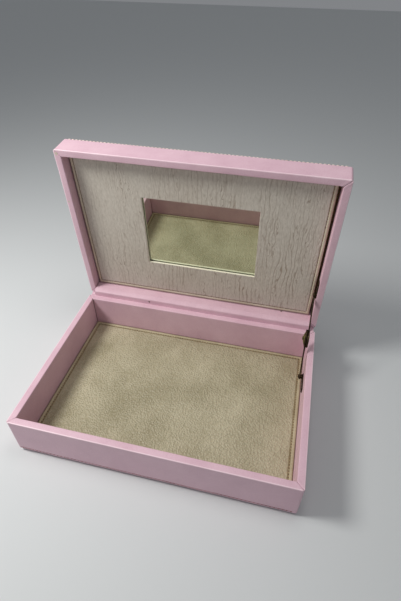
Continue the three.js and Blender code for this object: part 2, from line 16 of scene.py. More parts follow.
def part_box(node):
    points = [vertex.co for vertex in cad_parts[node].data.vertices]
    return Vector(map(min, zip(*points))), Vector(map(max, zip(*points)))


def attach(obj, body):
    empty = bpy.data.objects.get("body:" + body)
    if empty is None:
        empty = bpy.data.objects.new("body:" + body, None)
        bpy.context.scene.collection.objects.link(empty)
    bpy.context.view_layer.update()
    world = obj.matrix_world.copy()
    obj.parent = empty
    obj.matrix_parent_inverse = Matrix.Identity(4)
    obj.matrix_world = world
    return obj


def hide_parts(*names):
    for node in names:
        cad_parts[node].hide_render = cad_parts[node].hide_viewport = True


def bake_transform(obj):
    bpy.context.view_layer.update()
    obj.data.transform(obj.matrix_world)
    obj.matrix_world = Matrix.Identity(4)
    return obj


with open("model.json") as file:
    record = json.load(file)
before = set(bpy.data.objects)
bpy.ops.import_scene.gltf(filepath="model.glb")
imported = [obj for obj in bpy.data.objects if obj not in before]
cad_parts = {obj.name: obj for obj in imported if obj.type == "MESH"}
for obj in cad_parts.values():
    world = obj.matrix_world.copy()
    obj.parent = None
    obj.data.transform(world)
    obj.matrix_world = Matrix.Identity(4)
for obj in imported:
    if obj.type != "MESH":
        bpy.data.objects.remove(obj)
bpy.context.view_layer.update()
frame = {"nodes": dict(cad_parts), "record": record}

MM = 0.001

# Sizes of the box in millimetres, as the CAD has them.
WIDTH, DEPTH = 300.0, 204.0
TRAY_HEIGHT, LID_HEIGHT = 53.0, 29.5
LID_RIM = TRAY_HEIGHT + 0.3
WALL, COVER = 7.5, 0.75
EDGE_RADIUS = 4.8
RIM_OUTER, RIM_INNER, RIM_SWELL = 1.0, 0.9, 0.12
CORNER_RADIUS = 2.5
TURN_IN_Z, TURN_IN = 0.9, 14.0
FLOOR_BOTTOM, FLOOR_TOP = 8.85, 11.65
WALL_BOARD_Z = 7.15
LID_INNER_DEPTH = 23.6
PANEL_FRONT, PANEL_THICK = 12.0, 2.5
STRIP, STRIP_GAP = 0.7, 0.2
SHEET, SHEET_INSET = 0.8, 5.0

# Covers: a bead along the rim, a groove under the stitches, the pinch and gap at a mitre, and the skin's thickness.
BEAD_HEIGHT, BEAD_WIDTH = 0.26, 0.8
GROOVE_DEPTH, GROOVE_WIDTH = 0.3, 0.55
MITRE_DEPTH, MITRE_WIDTH, MITRE_GAP = 0.32, 0.35, 0.04
SKIN = COVER * 0.85

JOINTS = {j["name"]: j for j in frame["record"]["behaviour"]["joints"]}
HINGE = Vector(JOINTS["lid_hinge"]["pos_m"]) / MM
OPEN = math.radians(JOINTS["lid_hinge"]["range_deg"][1])
OPEN_LID = Matrix.Translation(HINGE) @ Matrix.Rotation(-OPEN, 4, "X") @ Matrix.Translation(-HINGE)


# ---------------------------------------------------------------- meshes

def mesh_object(name, verts, faces, material, lid=False, looks=None):
    """A mesh piece from points in millimetres; lid pieces are given in the closed position."""
    mesh = bpy.data.meshes.new(name)
    if lid:
        verts = [OPEN_LID @ Vector(v) for v in verts]
    mesh.from_pydata([Vector(v) * MM for v in verts], [], faces)
    if looks is not None:
        mesh.polygons.foreach_set("material_index", looks)
    bm = bmesh.new()
    bm.from_mesh(mesh)
    bmesh.ops.remove_doubles(bm, verts=bm.verts, dist=1e-7)
    bmesh.ops.recalc_face_normals(bm, faces=bm.faces)
    bm.to_mesh(mesh)
    bm.free()
    for polygon in mesh.polygons:
        polygon.use_smooth = True
    obj = bpy.data.objects.new(name, mesh)
    bpy.context.scene.collection.objects.link(obj)
    mesh.materials.append(material)
    return obj


def arc(centre, radius, start, end, steps):
    """Points on an arc in a plane, angles in degrees."""
    angles = np.radians(np.linspace(start, end, steps + 1))
    return [(centre[0] + radius * math.cos(a), centre[1] + radius * math.sin(a)) for a in angles]


def spaced(path, longest):
    """The same path with points added so that no stretch is longer than given."""
    out = [path[0]]
    for a, b in zip(path, path[1:]):
        steps = max(1, math.ceil(math.dist(a, b) / longest))
        for i in range(1, steps + 1):
            out.append((a[0] + (b[0] - a[0]) * i / steps, a[1] + (b[1] - a[1]) * i / steps))
    return out


def normals_of(path):
    """Unit normals to the left of a path."""
    out = []
    for i in range(len(path)):
        a, b = path[max(0, i - 1)], path[min(len(path) - 1, i + 1)]
        length = math.dist(a, b) or 1.0
        out.append((-(b[1] - a[1]) / length, (b[0] - a[0]) / length))
    return out


def along(half, fine, steps):
    """Positions from -half to half, close together near both ends."""
    middle = half - fine[-1]
    return [-half + f for f in fine] + list(np.linspace(-middle, middle, steps))[1:-1] + [
        half - f for f in reversed(fine)
    ]


def lump(point, size, seed=0.0):
    """Smooth noise of about one unit at a scale given in millimetres."""
    return noise.noise(Vector(point) / size + Vector((seed, seed * 0.37, -seed)))


# ---------------------------------------------------------------- materials

def new_material(name):
    """A material with one shader and nothing on it yet."""
    material = bpy.data.materials.new(name)
    material.use_nodes = True
    tree = material.node_tree
    tree.nodes.clear()
    out = tree.nodes.new("ShaderNodeOutputMaterial")
    shader = tree.nodes.new("ShaderNodeBsdfPrincipled")
    tree.links.new(shader.outputs[0], out.inputs["Surface"])
    return material, tree, shader


def node(tree, kind, **settings):
    """A shader node; each setting is the value of an input or one of the node's own."""
    made = tree.nodes.new(kind)
    for key, value in settings.items():
        if key in made.inputs:
            made.inputs[key].default_value = value
        else:
            setattr(made, key, value)
    return made


def place_of(tree, scale):
    """Object coordinates, stretched by a scale for each axis."""
    coordinates = node(tree, "ShaderNodeTexCoord")
    mapping = node(tree, "ShaderNodeMapping")
    mapping.inputs["Scale"].default_value = scale
    tree.links.new(coordinates.outputs["Object"], mapping.inputs["Vector"])
    return mapping.outputs["Vector"]


def ramp(tree, source, stops):
    """A colour ramp with (position, colour) stops; a colour may be one grey value."""
    made = node(tree, "ShaderNodeValToRGB")
    elements = made.color_ramp.elements
    while len(elements) > len(stops):
        elements.remove(elements[-1])
    while len(elements) < len(stops):
        elements.new(1.0)
    for element, (position, colour) in zip(elements, stops):
        element.position = position
        grey = isinstance(colour, (int, float))
        element.color = (colour, colour, colour, 1.0) if grey else (*colour, 1.0)
    tree.links.new(source, made.inputs[0])
    return made.outputs[0]


def spread(tree, source, start, end, low, high):
    """A value that goes from low to high as the source goes from start to end."""
    made = node(tree, "ShaderNodeMapRange")
    for key, value in (("From Min", start), ("From Max", end), ("To Min", low), ("To Max", high)):
        made.inputs[key].default_value = value
    tree.links.new(source, made.inputs["Value"])
    return made.outputs[0]


def mixed(tree, factor, a, b, mode="MIX"):
    """Two colours mixed; each is a socket or an rgb value, and the factor a socket or a number."""
    made = node(tree, "ShaderNodeMix", data_type="RGBA", blend_type=mode)
    for socket, value in ((made.inputs[0], factor), (made.inputs[6], a), (made.inputs[7], b)):
        if isinstance(value, (tuple, list)):
            socket.default_value = (*value, 1.0)
        elif isinstance(value, (int, float)):
            socket.default_value = value
        else:
            tree.links.new(value, socket)
    return made.outputs[2]


def bump(tree, shader, height, distance, strength=1.0, below=None):
    """Relief on a shader, over the relief below it where there is some."""
    made = node(tree, "ShaderNodeBump")
    made.inputs["Distance"].default_value = distance
    made.inputs["Strength"].default_value = strength
    tree.links.new(height, made.inputs["Height"])
    if below is not None:
        tree.links.new(below, made.inputs["Normal"])
    tree.links.new(made.outputs[0], shader.inputs["Normal"])
    return made.outputs[0]


def linear(r, g, b):
    """A colour given as 0 to 255 screen values, as linear light."""
    def one(v):
        v /= 255.0
        return v / 12.92 if v <= 0.04045 else ((v + 0.055) / 1.055) ** 2.4
    return (one(r), one(g), one(b))


def leatherette(name, light, dark, grain=1.1, relief=0.05, rough=(0.42, 0.6), worn=None, scuffs=()):
    """Embossed leatherette: cells of a given size in millimetres, blotches, rubbed patches and scuffs."""
    material, tree, shader = new_material(name)
    place = place_of(tree, (1, 1, 1))
    cells = node(tree, "ShaderNodeTexVoronoi", Scale=1000.0 / grain, feature="SMOOTH_F1", Smoothness=0.35)
    fine = node(tree, "ShaderNodeTexNoise", Scale=2600.0 / grain, Detail=2.0)
    blotch = node(tree, "ShaderNodeTexNoise", Scale=22.0, Detail=5.0, Roughness=0.6)
    speck = node(tree, "ShaderNodeTexNoise", Scale=170.0, Detail=6.0, Roughness=0.7)
    for texture in (cells, fine, blotch, speck):
        tree.links.new(place, texture.inputs["Vector"])
    body = mixed(tree, ramp(tree, blotch.outputs[0], [(0.32, 0.0), (0.7, 1.0)]), dark, light)
    valleys = ramp(tree, cells.outputs["Distance"], [(0.25, 0.0), (0.75, 1.0)])
    body = mixed(tree, valleys, body, mixed(tree, 0.22, body, dark, "MULTIPLY"))
    if worn:
        rubbed = ramp(tree, speck.outputs[0], [(0.62, 0.0), (0.74, 0.5)])
        body = mixed(tree, rubbed, body, worn)
    for point, radius, mark in scuffs:
        apart = node(tree, "ShaderNodeVectorMath", operation="DISTANCE")
        apart.inputs[1].default_value = point
        coordinates = node(tree, "ShaderNodeTexCoord")
        tree.links.new(coordinates.outputs["Object"], apart.inputs[0])
        near = spread(tree, apart.outputs["Value"], 0.0, radius, 0.75, 0.0)
        ragged = mixed(tree, 1.0, near, speck.outputs[0], "MULTIPLY")
        body = mixed(tree, ramp(tree, ragged, [(0.12, 0.0), (0.2, 1.0)]), body, mark)
    tree.links.new(body, shader.inputs["Base Color"])
    dullness = ramp(tree, blotch.outputs[0], [(0.3, rough[0]), (0.75, rough[1])])
    tree.links.new(dullness, shader.inputs["Roughness"])
    inverted = ramp(tree, cells.outputs["Distance"], [(0.1, 1.0), (0.8, 0.0)])
    first = bump(tree, shader, inverted, relief * MM, 0.8)
    bump(tree, shader, fine.outputs[0], relief * 0.35 * MM, 0.5, first)
    shader.inputs["Specular IOR Level"].default_value = 0.4
    return material


def streaked_panel(name):
    """Pale leatherette printed like watered silk: thin wavering upright lines that fork and die out."""
    material, tree, shader = new_material(name)
    tall = place_of(tree, (1.0, 1.0, 0.32))
    level = place_of(tree, (1.0, 1.0, 1.0))

    def lines(scale, distortion, width, patch_scale, shown):
        wave = node(tree, "ShaderNodeTexWave", Scale=scale, Distortion=distortion, Detail=2.5)
        wave.bands_direction = "X"
        wave.inputs["Detail Scale"].default_value = 1.3
        wave.inputs["Detail Roughness"].default_value = 0.6
        patch = node(tree, "ShaderNodeTexNoise", Scale=patch_scale, Detail=3.0, Roughness=0.6)
        for texture in (wave, patch):
            tree.links.new(tall, texture.inputs["Vector"])
        thin = ramp(tree, wave.outputs["Fac"], [(0.0, 1.0), (width * 0.4, 0.85), (width, 0.0)])
        return wave, mixed(tree, 1.0, thin, ramp(tree, patch.outputs[0], shown), "MULTIPLY")

    wide, broad_lines = lines(62.0, 9.0, 0.13, 46.0, [(0.38, 0.0), (0.56, 1.0)])
    _, hair_lines = lines(105.0, 13.0, 0.1, 80.0, [(0.46, 0.0), (0.62, 0.8)])
    position = node(tree, "ShaderNodeSeparateXYZ")
    tree.links.new(level, position.inputs[0])
    for axis, start, end, low, high in (("X", -0.13, 0.09, 0.35, 0.8), ("Z", 0.09, 0.2, 1.0, 0.5)):
        fade = spread(tree, position.outputs[axis], start, end, low, high)
        broad_lines = mixed(tree, 1.0, broad_lines, fade, "MULTIPLY")
    cloud = node(tree, "ShaderNodeTexNoise", Scale=14.0, Detail=4.0, Roughness=0.6)
    fibre = node(tree, "ShaderNodeTexNoise", Scale=700.0, Detail=3.0, Roughness=0.6)
    grain = node(tree, "ShaderNodeTexVoronoi", Scale=1000.0, feature="SMOOTH_F1")
    for texture in (cloud, grain):
        tree.links.new(level, texture.inputs["Vector"])
    tree.links.new(tall, fibre.inputs["Vector"])
    ground = mixed(tree, ramp(tree, fibre.outputs[0], [(0.35, 0.0), (0.68, 1.0)]), PANEL_DEEP, PANEL_PALE)
    ground = mixed(tree, ramp(tree, cloud.outputs[0], [(0.4, 0.0), (0.75, 0.4)]), ground, PANEL_CLOUD)
    colour = mixed(tree, mixed(tree, 0.8, (0.0, 0.0, 0.0), hair_lines), ground, PANEL_LINE)
    colour = mixed(tree, broad_lines, colour, PANEL_LINE)
    tree.links.new(colour, shader.inputs["Base Color"])
    tree.links.new(ramp(tree, fibre.outputs[0], [(0.3, 0.42), (0.7, 0.6)]), shader.inputs["Roughness"])
    raised = ramp(tree, wide.outputs["Fac"], [(0.02, 0.0), (0.3, 1.0)])
    first = bump(tree, shader, raised, 0.1 * MM, 0.5)
    bump(tree, shader, grain.outputs["Distance"], 0.03 * MM, 0.5, first)
    return material


def aged_brass(name, deep, middle, bright):
    """Dulled brass: darker and brighter in random blotches of patina and rubbing, with fine pits."""
    material, tree, shader = new_material(name)
    place = place_of(tree, (1, 1, 1))
    patina = node(tree, "ShaderNodeTexNoise", Scale=420.0, Detail=6.0, Roughness=0.65)
    pits = node(tree, "ShaderNodeTexNoise", Scale=2400.0, Detail=3.0)
    for texture in (patina, pits):
        tree.links.new(place, texture.inputs["Vector"])
    stops = [(0.32, deep), (0.52, middle), (0.72, bright)]
    tree.links.new(ramp(tree, patina.outputs[0], stops), shader.inputs["Base Color"])
    tree.links.new(ramp(tree, patina.outputs[0], [(0.3, 0.62), (0.75, 0.36)]), shader.inputs["Roughness"])
    bump(tree, shader, pits.outputs[0], 0.03 * MM, 0.5)
    shader.inputs["Metallic"].default_value = 0.85
    return material


def thread(name, light, dark):
    """Twisted sewing thread."""
    material, tree, shader = new_material(name)
    place = place_of(tree, (1, 1, 1))
    twist = node(tree, "ShaderNodeTexNoise", Scale=3200.0, Detail=2.0)
    wander = node(tree, "ShaderNodeTexNoise", Scale=60.0, Detail=4.0)
    for texture in (twist, wander):
        tree.links.new(place, texture.inputs["Vector"])
    tree.links.new(
        mixed(tree, ramp(tree, wander.outputs[0], [(0.35, 0.0), (0.7, 1.0)]), dark, light),
        shader.inputs["Base Color"],
    )
    bump(tree, shader, twist.outputs[0], 0.08 * MM, 0.8)
    shader.inputs["Roughness"].default_value = 0.75
    return material


def raw_board(name, light, dark):
    """Pressed board with fine fibres."""
    material, tree, shader = new_material(name)
    place = place_of(tree, (1, 1, 1))
    fibre = node(tree, "ShaderNodeTexNoise", Scale=900.0, Detail=6.0, Roughness=0.7)
    cloud = node(tree, "ShaderNodeTexNoise", Scale=40.0, Detail=3.0)
    for texture in (fibre, cloud):
        tree.links.new(place, texture.inputs["Vector"])
    body = mixed(tree, ramp(tree, fibre.outputs[0], [(0.3, 0.0), (0.7, 1.0)]), dark, light)
    body = mixed(tree, ramp(tree, cloud.outputs[0], [(0.4, 0.0), (0.8, 0.4)]), body, dark)
    tree.links.new(body, shader.inputs["Base Color"])
    bump(tree, shader, fibre.outputs[0], 0.05 * MM, 0.5)
    shader.inputs["Roughness"].default_value = 0.85
    return material


def silvered_glass(name):
    """A mirror, slightly green and slightly hazy."""
    material, tree, shader = new_material(name)
    place = place_of(tree, (1, 1, 1))
    haze = node(tree, "ShaderNodeTexNoise", Scale=25.0, Detail=4.0)
    tree.links.new(place, haze.inputs["Vector"])
    tree.links.new(
        ramp(tree, haze.outputs[0], [(0.3, linear(214, 222, 208)), (0.7, linear(224, 230, 216))]),
        shader.inputs["Base Color"],
    )
    tree.links.new(ramp(tree, haze.outputs[0], [(0.45, 0.012), (0.8, 0.035)]), shader.inputs["Roughness"])
    shader.inputs["Metallic"].default_value = 1.0
    return material


PANEL_PALE, PANEL_DEEP = linear(218, 211, 199), linear(198, 190, 177)
PANEL_CLOUD, PANEL_LINE = linear(190, 179, 164), linear(146, 127, 109)
SCUFF, BARE_BACKING = linear(96, 70, 62), linear(206, 190, 178)
LID_RIM_SCUFF = OPEN_LID @ Vector((-147.5, -40.0, LID_RIM)) * MM
LID_CORNER_SCUFF = OPEN_LID @ Vector((-147.0, -98.0, LID_RIM)) * MM

PINK = leatherette(
    "pink_leatherette", linear(233, 200, 211), linear(220, 184, 197), grain=0.8, relief=0.04,
    rough=(0.38, 0.54), worn=linear(240, 212, 219),
    scuffs=(
        ((-0.065, 0.1022, 0.057), 0.0022, SCUFF), ((0.1056, 0.1178, 0.0622), 0.002, SCUFF),
        (tuple(LID_RIM_SCUFF), 0.0024, BARE_BACKING), (tuple(LID_CORNER_SCUFF), 0.0032, BARE_BACKING),
    ),
)
# Lighter, glossier pink for the rim bead: a painted highlight along the outer rim edge.
HIGHLIGHT_PINK = leatherette(
    "painted_highlight_pink", linear(250, 226, 233), linear(238, 208, 217), grain=0.7, relief=0.03, rough=(0.3, 0.44)
)
BASE_PINK = leatherette(
    "base_leatherette", linear(206, 170, 178), linear(188, 150, 160), grain=0.9, worn=linear(170, 136, 140)
)
FLOOR_LEATHER = leatherette(
    "floor_leatherette", linear(196, 188, 160), linear(164, 156, 127), grain=2.0, relief=0.9,
    rough=(0.32, 0.5), worn=linear(206, 198, 172),
)
FLOOR_BORDER = leatherette(
    "floor_border", linear(196, 186, 156), linear(168, 156, 124), grain=1.3, relief=0.1,
    worn=linear(208, 198, 170), scuffs=(((0.1405, -0.088, 0.0117), 0.004, SCUFF),),
)
# Darker khaki for the seam groove on the pad: painted shade in the groove.
FLOOR_GROOVE_SHADE = leatherette(
    "floor_groove_painted_shade", linear(158, 148, 114), linear(134, 122, 90), grain=1.5, relief=0.2,
    worn=linear(120, 104, 74),
)
PANEL_LEATHER = streaked_panel("panel_leatherette")
PANEL_BORDER = leatherette(
    "panel_border", linear(226, 217, 198), linear(200, 188, 164), grain=0.7, relief=0.03,
    worn=linear(172, 150, 118),
)
BRONZE = aged_brass("dark_bronze", linear(40, 30, 22), linear(64, 50, 34), linear(100, 84, 58))
BRASS = aged_brass("aged_brass", linear(80, 74, 44), linear(122, 116, 74), linear(170, 160, 110))
CREAM_THREAD = thread("cream_thread", linear(250, 240, 224), linear(236, 216, 198))
EDGE_THREAD = thread("edge_thread", linear(172, 116, 116), linear(132, 84, 86))
TAN_THREAD = thread("tan_thread", linear(156, 124, 92), linear(96, 70, 48))
FLOOR_THREAD = thread("floor_thread", linear(210, 196, 156), linear(158, 138, 100))
# Dark red-brown patches at the needle holes: painted shade in the holes.
NEEDLE_HOLE_SHADE = thread("needle_hole_painted_shade", linear(110, 58, 52), linear(66, 32, 30))
BOARD = raw_board("pressed_board", linear(176, 148, 112), linear(140, 112, 80))
CARD = raw_board("grey_card", linear(150, 142, 128), linear(120, 112, 100))
MIRROR = silvered_glass("silvered_glass")
# Near-white cream for the bare cut edge at the window: the pale cut backing, made brighter as a painted highlight
# where the edge catches the light.
CUT_EDGE_AND_HIGHLIGHT = leatherette("cut_edge_and_painted_highlight", linear(252, 248, 228), linear(242, 234, 210), grain=0.5, relief=0.02)


# ---------------------------------------------------------------- wall covers

def outer_path(turn_in_z, rim_z, inner_end_z):
    """The visible side of a cover: [distance in from the outer face, height]."""
    near_rim = [(0.0, rim_z - back) for back in (6.0, 4.4, 3.4, 2.7, 2.1, 1.6, 1.25)]
    inner = [(WALL, rim_z - back) for back in (1.6, 2.8, 4.5)]
    return (
        spaced([(TURN_IN, turn_in_z), (EDGE_RADIUS + 0.6, turn_in_z)], 3.0)
        + arc((EDGE_RADIUS, turn_in_z + EDGE_RADIUS), EDGE_RADIUS, 270, 180, 20)
        + spaced([(0.0, turn_in_z + EDGE_RADIUS + 1.0), (0.0, rim_z - 8.0)], 4.0)
        + near_rim
        + arc((RIM_OUTER, rim_z - RIM_OUTER), RIM_OUTER, 180, 90, 6)
        + [(WALL / 2 - 0.8, rim_z), (WALL / 2 + 0.8, rim_z)]
        + arc((WALL - RIM_INNER, rim_z - RIM_INNER), RIM_INNER, 90, 0, 6)
        + inner
        + spaced([(WALL, rim_z - 8.0), (WALL, inner_end_z)], 6.0)
    )


def round_corner(end, d, level):
    """Rounds the upright corner of the box: distances from the end plane and from the outer face.

    Level is how far the whole outline has already drawn in at this height.
    """
    r = CORNER_RADIUS
    end, d = end - level, d - level
    if end >= r or d >= r:
        return end + level, d + level
    kept = r * 0.293 + end * 0.707
    shift = r - math.sqrt(r * r - (r - kept) ** 2)
    fade = 1 - max(0.0, d) / r
    return level + end + (kept - end) * fade, level + d + shift * fade


def cover(name, side, is_lid):
    """A leatherette cover over one wall, mitred at both ends, with a beaded rim and a sewn groove; the bead is
    painted lighter as a highlight.
    """
    if is_lid:
        path = outer_path(TURN_IN_Z, LID_HEIGHT, LID_HEIGHT - LID_INNER_DEPTH)
        path = [(d, LID_RIM + LID_HEIGHT - z) for d, z in path]
    else:
        path = outer_path(TURN_IN_Z, TRAY_HEIGHT, WALL_BOARD_Z)
    normals = normals_of(path)
    outward = 1.0 if not is_lid else -1.0
    length = WIDTH if side in ("front", "back") else DEPTH
    steps = 64 if length > 250 else 46
    fine = (0.0, 0.2, 0.45, 0.8, 1.3, 2.0, 3.0, 4.5, 7.0)
    ring = [(p, n, 0.0) for p, n in zip(path, normals)]
    ring += [(p, n, SKIN) for p, n in zip(reversed(path), reversed(normals))]
    seed = {"front": 1.0, "back": 2.0, "left": 3.0, "right": 4.0}[side] + (10.0 if is_lid else 0.0)
    over = 1.0 if side in ("front", "back") else 0.55
    rim_z = LID_RIM if is_lid else TRAY_HEIGHT
    bead_at = (0.3, rim_z + (0.3 if is_lid else -0.3))
    seam_d, seam_z = seam_point(is_lid)[:2]
    rows = []
    for (d, z), (nd, nz), depth in ring:
        half = length / 2 - d - MITRE_GAP
        bead = BEAD_HEIGHT * math.exp(-((math.dist((d, z), bead_at) / BEAD_WIDTH) ** 2))
        groove = GROOVE_DEPTH * math.exp(-((math.dist((d, z), (seam_d, seam_z)) / GROOVE_WIDTH) ** 2))
        near_rim = math.exp(-abs(z - rim_z) / 2.5)
        level = min(d, EDGE_RADIUS) if abs(z - rim_z) > 20.0 and d < WALL - 0.5 else 0.0
        row = []
        for x in along(half, fine, steps):
            end = half - abs(x)
            puff = 0.0
            if depth == 0.0:
                at = (x, d * 3, z)
                puff = 0.12 * lump(at, 30.0, seed) + 0.06 * lump(at, 11.0, seed) - groove
                puff -= MITRE_DEPTH * math.exp(-end / MITRE_WIDTH)
                puff += over * 0.24 * near_rim * math.exp(-(((end - 1.9) / 1.2) ** 2))
                puff -= over * 0.14 * near_rim * math.exp(-(((end - 4.4) / 1.0) ** 2))
            move = outward * (puff - depth)
            edge, inward = round_corner(length / 2 - abs(x), d + nd * move, level)
            bead_here = bead * (1 - 0.25 * lump((x, 0, z), 9.0, seed + 3)) if depth == 0.0 else 0.0
            height = z + nz * move
            height = max(height, LID_RIM - RIM_SWELL) if is_lid else min(height, TRAY_HEIGHT + RIM_SWELL)
            row.append((math.copysign(length / 2 - edge, x), inward - bead_here, height))
        rows.append(row)
    count, columns = len(rows), len(rows[0])
    verts = []
    for row in rows:
        for x, d, z in row:
            if side == "front":
                verts.append((x, -DEPTH / 2 + d, z))
            elif side == "back":
                verts.append((-x, DEPTH / 2 - d, z))
            elif side == "left":
                verts.append((-WIDTH / 2 + d, -x, z))
            else:
                verts.append((WIDTH / 2 - d, x, z))
    faces, looks = [], []
    for i in range(count):
        j = (i + 1) % count
        d, z = ring[i][0]
        # Faces on the rim bead take the second material, a lighter pink that paints the highlight along the rim
        # edge.
        on_bead = ring[i][2] == 0.0 and d < 0.9 and abs(z - rim_z) < 0.8
        for k in range(columns - 1):
            faces.append((i * columns + k, i * columns + k + 1, j * columns + k + 1, j * columns + k))
            looks.append(1 if on_bead else 0)
    half_count = len(path)
    for k in (0, columns - 1):
        for i in range(half_count - 1):
            a, b = i, i + 1
            c, d = count - 2 - i, count - 1 - i
            faces.append((a * columns + k, b * columns + k, c * columns + k, d * columns + k))
            looks.append(0)
    obj = mesh_object(name, verts, faces, PINK, lid=is_lid, looks=looks)
    obj.data.materials.append(HIGHLIGHT_PINK)
    return obj


STITCH_SINK = 0.1
SEAM_ANGLE = {False: math.radians(-9), True: math.radians(26)}


def seam_point(is_lid):
    """Where the sewn line runs on the rounded far edge of a wall: distance in, height, and its normal."""
    angle = SEAM_ANGLE[is_lid]
    d = EDGE_RADIUS * (1 - math.cos(angle))
    up = TURN_IN_Z + EDGE_RADIUS * (1 - math.sin(angle))
    if is_lid:
        return d, LID_RIM + LID_HEIGHT - up, math.cos(angle), math.sin(angle)
    return d, up, math.cos(angle), -math.sin(angle)


for wall_side in ("front", "back", "left", "right"):
    for part_of_box in ("tray", "lid"):
        piece = cover(f"{part_of_box}_{wall_side}_wrap", wall_side, part_of_box == "lid")
        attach(piece, part_of_box)
        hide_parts(f"{part_of_box}_{wall_side}_wall_cover")


# ---------------------------------------------------------------- sheets on the underside and the lid

def slab(xs, ys, back_z, face_z):
    """Vertices and faces of a slab on a grid, with a flat back and a face of a given height at x, y."""
    verts = [(x, y, back_z) for y in ys for x in xs] + [(x, y, face_z(x, y)) for y in ys for x in xs]
    cols, per = len(xs), len(xs) * len(ys)
    faces = []
    for layer in (0, 1):
        for j in range(len(ys) - 1):
            for i in range(cols - 1):
                a = layer * per + j * cols + i
                faces.append((a, a + 1, a + cols + 1, a + cols))
    border = [(i, 0) for i in range(cols)] + [(cols - 1, j) for j in range(1, len(ys))]
    border += [(i, len(ys) - 1) for i in range(cols - 2, -1, -1)]
    border += [(0, j) for j in range(len(ys) - 2, 0, -1)]
    for (i, j), (k, m) in zip(border, border[1:] + border[:1]):
        a, b = j * cols + i, m * cols + k
        faces.append((a, b, b + per, a + per))
    return verts, faces


def glued_sheet(name, back_z, face_z, crown, material, lid):
    """A glued sheet with a softly rounded edge; its middle swells by the crown."""
    half_x, half_y = WIDTH / 2 - SHEET_INSET, DEPTH / 2 - SHEET_INSET
    fine = (0.0, 0.2, 0.5, 1.0, 2.0, 5.0)
    away = 1.0 if face_z > back_z else -1.0

    def height(x, y):
        edge = min(half_x - abs(x), half_y - abs(y))
        swell = crown * (1 - math.exp(-edge / 14.0)) - 0.45 * math.exp(-edge / 0.35)
        swell += 0.06 * lump((x, y, face_z), 18.0) * (1 - math.exp(-edge / 3.0))
        return face_z + away * swell

    verts, faces = slab(along(half_x, fine, 46), along(half_y, fine, 32), back_z, height)
    return mesh_object(name, verts, faces, material, lid=lid)


LID_TOP = LID_RIM + LID_HEIGHT
lid_top = glued_sheet("lid_top_leather", LID_TOP - SHEET, LID_TOP, 0.5, PINK, True)
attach(lid_top, "lid")
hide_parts("lid_top_sheet")
tray_foot = glued_sheet("tray_base_leather", SHEET, 0.05, 0.0, BASE_PINK, False)
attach(tray_foot, "tray")
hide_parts("tray_base_sheet")


# ---------------------------------------------------------------- floor pad

FLOOR_SEAM, FLOOR_GAP = 4.3, 0.35
FLOOR_X, FLOOR_Y = WIDTH / 2 - WALL - FLOOR_GAP, DEPTH / 2 - WALL - FLOOR_GAP


def floor_height(x, y):
    """The padded floor: a rolled edge, a groove drawn down by the stitches, and a swollen middle."""
    edge = min(FLOOR_X - abs(x), FLOOR_Y - abs(y))
    z = FLOOR_TOP - 1.0 * math.exp(-edge / 0.4) + 0.35 * math.exp(-(((edge - 1.7) / 1.2) ** 2))
    z -= 0.55 * math.exp(-(((edge - FLOOR_SEAM) / 0.7) ** 2))
    z += 0.3 * (1 - math.exp(-max(0.0, edge - FLOOR_SEAM) / 12.0))
    return z + 0.13 * lump((x, y, 0), 36.0, 3.0) + 0.05 * lump((x, y, 0), 9.0, 5.0)


def floor_pad():
    """The pebbled pad, with a border outside its seam and a groove along it in a darker leatherette that paints the
    shade in the groove.
    """
    fine = (0.0, 0.15, 0.4, 0.8, 1.3, 1.9, 2.5, 3.1, 3.6, 4.0, 4.3, 4.6, 5.1, 6.0, 7.5, 10.0)
    verts, faces = slab(along(FLOOR_X, fine, 90), along(FLOOR_Y, fine, 60), FLOOR_BOTTOM, floor_height)
    obj = mesh_object("floor_pad_leather", verts, faces, FLOOR_LEATHER)
    obj.data.materials.append(FLOOR_BORDER)
    obj.data.materials.append(FLOOR_GROOVE_SHADE)
    for polygon in obj.data.polygons:
        centre = polygon.center / MM
        edge = min(FLOOR_X - abs(centre.x), FLOOR_Y - abs(centre.y))
        if edge < FLOOR_SEAM - 0.9:
            polygon.material_index = 1
        # Faces along the seam groove take the darker material: painted shade.
        elif edge < FLOOR_SEAM + 1.7:
            polygon.material_index = 2
    return obj


pad = floor_pad()
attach(pad, "tray")
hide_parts("tray_floor_pad")


# ---------------------------------------------------------------- lid panel

WINDOW = (-64.5, 67.5, -48.45, 44.05)
PANEL_SEAM, PANEL_SEAM_Y, PANEL_GAP = 3.8, 5.0, 0.7
panel_low, panel_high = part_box("lid_panel")
PANEL_X = (panel_low[0] / MM, panel_high[0] / MM)
PANEL_Y = (-DEPTH / 2 + WALL + PANEL_GAP, DEPTH / 2 - WALL - PANEL_GAP)
PANEL_Z = LID_RIM + PANEL_FRONT


def panel_edge(x, y):
    """Distance to the panel's outer edge, stretched so that the sewn line is at one value all round."""
    across = PANEL_SEAM / PANEL_SEAM_Y
    return min(x - PANEL_X[0], PANEL_X[1] - x, (y - PANEL_Y[0]) * across, (PANEL_Y[1] - y) * across)


def panel_window(x, y):
    """Distance outside the window; zero inside it."""
    return max(WINDOW[0] - x, x - WINDOW[1], WINDOW[2] - y, y - WINDOW[3], 0.0)


